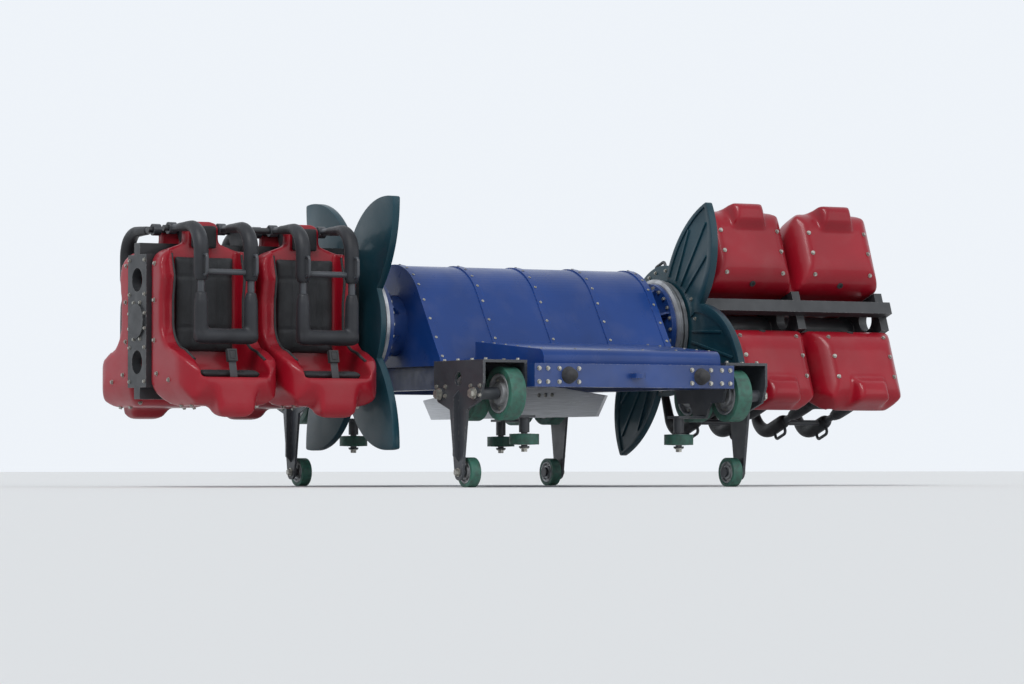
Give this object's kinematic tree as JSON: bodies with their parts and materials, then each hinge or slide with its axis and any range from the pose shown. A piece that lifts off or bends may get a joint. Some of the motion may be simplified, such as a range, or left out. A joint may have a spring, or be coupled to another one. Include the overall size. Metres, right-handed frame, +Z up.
{
  "type": "roller coaster car",
  "caption": "Roller coaster car with a freely turning seat unit outboard of each rail, seats back to back in red shells, and finned inner shields.",
  "frame": {"origin": "centre of the footprint, on the plane under the four up-stop wheels", "axes": "+X the way the car travels, +Y towards the left seat unit, +Z up"},
  "size_m": [3.1402, 5.234, 1.824],
  "materials": {
    "red_shell": "polished gel coat",
    "blue_paint": "gloss paint",
    "teal_fins": "satin gel coat",
    "dark_steel": "satin paint",
    "grey_steel": "machined",
    "bare_metal": "bare plate",
    "wheels": "polyurethane",
    "padding": "matt skin foam",
    "harness": "matt skin foam",
    "buffer_rubber": "matt"
  },
  "bodies": {
    "chassis": {"side_beam_left": "blue_paint", "side_beam_right": "blue_paint", "end_beam_front": "blue_paint", "end_beam_rear": "blue_paint", "cross_members": "blue_paint", "pedestals": "blue_paint", "axle_housing": "blue_paint", "slew_rings": "grey_steel", "centre_cowl": "blue_paint", "front_cowl": "blue_paint", "rear_cowl": "blue_paint", "buffers": "buffer_rubber", "brake_fin": "bare_metal", "bogie_front_left": "dark_steel", "bogie_front_right": "dark_steel", "bogie_rear_left": "dark_steel", "bogie_rear_right": "dark_steel"},
    "run_front_front_left": {"wheel_run_front_front_left": "wheels"},
    "run_rear_front_left": {"wheel_run_rear_front_left": "wheels"},
    "guide_front_left": {"wheel_guide_front_left": "wheels"},
    "upstop_front_left": {"wheel_upstop_front_left": "wheels"},
    "run_front_front_right": {"wheel_run_front_front_right": "wheels"},
    "run_rear_front_right": {"wheel_run_rear_front_right": "wheels"},
    "guide_front_right": {"wheel_guide_front_right": "wheels"},
    "upstop_front_right": {"wheel_upstop_front_right": "wheels"},
    "run_front_rear_left": {"wheel_run_front_rear_left": "wheels"},
    "run_rear_rear_left": {"wheel_run_rear_rear_left": "wheels"},
    "guide_rear_left": {"wheel_guide_rear_left": "wheels"},
    "upstop_rear_left": {"wheel_upstop_rear_left": "wheels"},
    "run_front_rear_right": {"wheel_run_front_rear_right": "wheels"},
    "run_rear_rear_right": {"wheel_run_rear_rear_right": "wheels"},
    "guide_rear_right": {"wheel_guide_rear_right": "wheels"},
    "upstop_rear_right": {"wheel_upstop_rear_right": "wheels"},
    "seat_unit_left": {"unit_frame_left": "dark_steel", "hub_flange_left": "grey_steel", "fin_shield_left": "teal_fins", "seat_shell_left_front": "red_shell", "seat_shell_left_rear": "red_shell", "seat_pads_left_front": "padding", "seat_pads_left_rear": "padding"},
    "restraint_left_front_inner": {"restraint_left_front_inner": "harness"},
    "restraint_left_front_outer": {"restraint_left_front_outer": "harness"},
    "restraint_left_rear_inner": {"restraint_left_rear_inner": "harness"},
    "restraint_left_rear_outer": {"restraint_left_rear_outer": "harness"},
    "seat_unit_right": {"unit_frame_right": "dark_steel", "hub_flange_right": "grey_steel", "fin_shield_right": "teal_fins", "seat_shell_right_front": "red_shell", "seat_shell_right_rear": "red_shell", "seat_pads_right_front": "padding", "seat_pads_right_rear": "padding"},
    "restraint_right_front_inner": {"restraint_right_front_inner": "harness"},
    "restraint_right_front_outer": {"restraint_right_front_outer": "harness"},
    "restraint_right_rear_inner": {"restraint_right_rear_inner": "harness"},
    "restraint_right_rear_outer": {"restraint_right_rear_outer": "harness"}
  },
  "joints": [
    {"name": "run_front_front_left_spin", "type": "hinge", "parent": "chassis", "child": "run_front_front_left", "pos_m": [1.31, 0.8, 0.56], "axis": [0, 1, 0], "continuous": true},
    {"name": "run_rear_front_left_spin", "type": "hinge", "parent": "chassis", "child": "run_rear_front_left", "pos_m": [0.89, 0.8, 0.56], "axis": [0, 1, 0], "continuous": true},
    {"name": "guide_front_left_spin", "type": "hinge", "parent": "chassis", "child": "guide_front_left", "pos_m": [1.1, 0.55, 0.29], "axis": [0, 0, 1], "continuous": true},
    {"name": "upstop_front_left_spin", "type": "hinge", "parent": "chassis", "child": "upstop_front_left", "pos_m": [1.1, 0.93, 0.09], "axis": [0, 1, 0], "continuous": true},
    {"name": "run_front_front_right_spin", "type": "hinge", "parent": "chassis", "child": "run_front_front_right", "pos_m": [1.31, -0.8, 0.56], "axis": [0, 1, 0], "continuous": true},
    {"name": "run_rear_front_right_spin", "type": "hinge", "parent": "chassis", "child": "run_rear_front_right", "pos_m": [0.89, -0.8, 0.56], "axis": [0, 1, 0], "continuous": true},
    {"name": "guide_front_right_spin", "type": "hinge", "parent": "chassis", "child": "guide_front_right", "pos_m": [1.1, -0.55, 0.29], "axis": [0, 0, 1], "continuous": true},
    {"name": "upstop_front_right_spin", "type": "hinge", "parent": "chassis", "child": "upstop_front_right", "pos_m": [1.1, -0.93, 0.09], "axis": [0, 1, 0], "continuous": true},
    {"name": "run_front_rear_left_spin", "type": "hinge", "parent": "chassis", "child": "run_front_rear_left", "pos_m": [-0.89, 0.8, 0.56], "axis": [0, 1, 0], "continuous": true},
    {"name": "run_rear_rear_left_spin", "type": "hinge", "parent": "chassis", "child": "run_rear_rear_left", "pos_m": [-1.31, 0.8, 0.56], "axis": [0, 1, 0], "continuous": true},
    {"name": "guide_rear_left_spin", "type": "hinge", "parent": "chassis", "child": "guide_rear_left", "pos_m": [-1.1, 0.55, 0.29], "axis": [0, 0, 1], "continuous": true},
    {"name": "upstop_rear_left_spin", "type": "hinge", "parent": "chassis", "child": "upstop_rear_left", "pos_m": [-1.1, 0.93, 0.09], "axis": [0, 1, 0], "continuous": true},
    {"name": "run_front_rear_right_spin", "type": "hinge", "parent": "chassis", "child": "run_front_rear_right", "pos_m": [-0.89, -0.8, 0.56], "axis": [0, 1, 0], "continuous": true},
    {"name": "run_rear_rear_right_spin", "type": "hinge", "parent": "chassis", "child": "run_rear_rear_right", "pos_m": [-1.31, -0.8, 0.56], "axis": [0, 1, 0], "continuous": true},
    {"name": "guide_rear_right_spin", "type": "hinge", "parent": "chassis", "child": "guide_rear_right", "pos_m": [-1.1, -0.55, 0.29], "axis": [0, 0, 1], "continuous": true},
    {"name": "upstop_rear_right_spin", "type": "hinge", "parent": "chassis", "child": "upstop_rear_right", "pos_m": [-1.1, -0.93, 0.09], "axis": [0, 1, 0], "continuous": true},
    {"name": "seat_unit_left_spin", "type": "hinge", "parent": "chassis", "child": "seat_unit_left", "pos_m": [0, 1.14, 1], "axis": [0, 1, 0], "continuous": true},
    {"name": "restraint_left_front_inner_swing", "type": "hinge", "parent": "seat_unit_left", "child": "restraint_left_front_inner", "pos_m": [-0.56385, 1.585, 0.91183], "axis": [0, -1, 0], "range_deg": [0, 100]},
    {"name": "restraint_left_front_outer_swing", "type": "hinge", "parent": "seat_unit_left", "child": "restraint_left_front_outer", "pos_m": [-0.56385, 2.265, 0.91183], "axis": [0, -1, 0], "range_deg": [0, 100]},
    {"name": "restraint_left_rear_inner_swing", "type": "hinge", "parent": "seat_unit_left", "child": "restraint_left_rear_inner", "pos_m": [-0.48861, 1.585, 0.7051], "axis": [0, 1, 0], "range_deg": [0, 100]},
    {"name": "restraint_left_rear_outer_swing", "type": "hinge", "parent": "seat_unit_left", "child": "restraint_left_rear_outer", "pos_m": [-0.48861, 2.265, 0.7051], "axis": [0, 1, 0], "range_deg": [0, 100]},
    {"name": "seat_unit_right_spin", "type": "hinge", "parent": "chassis", "child": "seat_unit_right", "pos_m": [0, -1.14, 1], "axis": [0, 1, 0], "continuous": true},
    {"name": "restraint_right_front_inner_swing", "type": "hinge", "parent": "seat_unit_right", "child": "restraint_right_front_inner", "pos_m": [0.11, -1.585, 1.56], "axis": [0, -1, 0], "range_deg": [0, 100]},
    {"name": "restraint_right_front_outer_swing", "type": "hinge", "parent": "seat_unit_right", "child": "restraint_right_front_outer", "pos_m": [0.11, -2.265, 1.56], "axis": [0, -1, 0], "range_deg": [0, 100]},
    {"name": "restraint_right_rear_inner_swing", "type": "hinge", "parent": "seat_unit_right", "child": "restraint_right_rear_inner", "pos_m": [-0.11, -1.585, 1.56], "axis": [0, 1, 0], "range_deg": [0, 100]},
    {"name": "restraint_right_rear_outer_swing", "type": "hinge", "parent": "seat_unit_right", "child": "restraint_right_rear_outer", "pos_m": [-0.11, -2.265, 1.56], "axis": [0, 1, 0], "range_deg": [0, 100]}
  ]
}
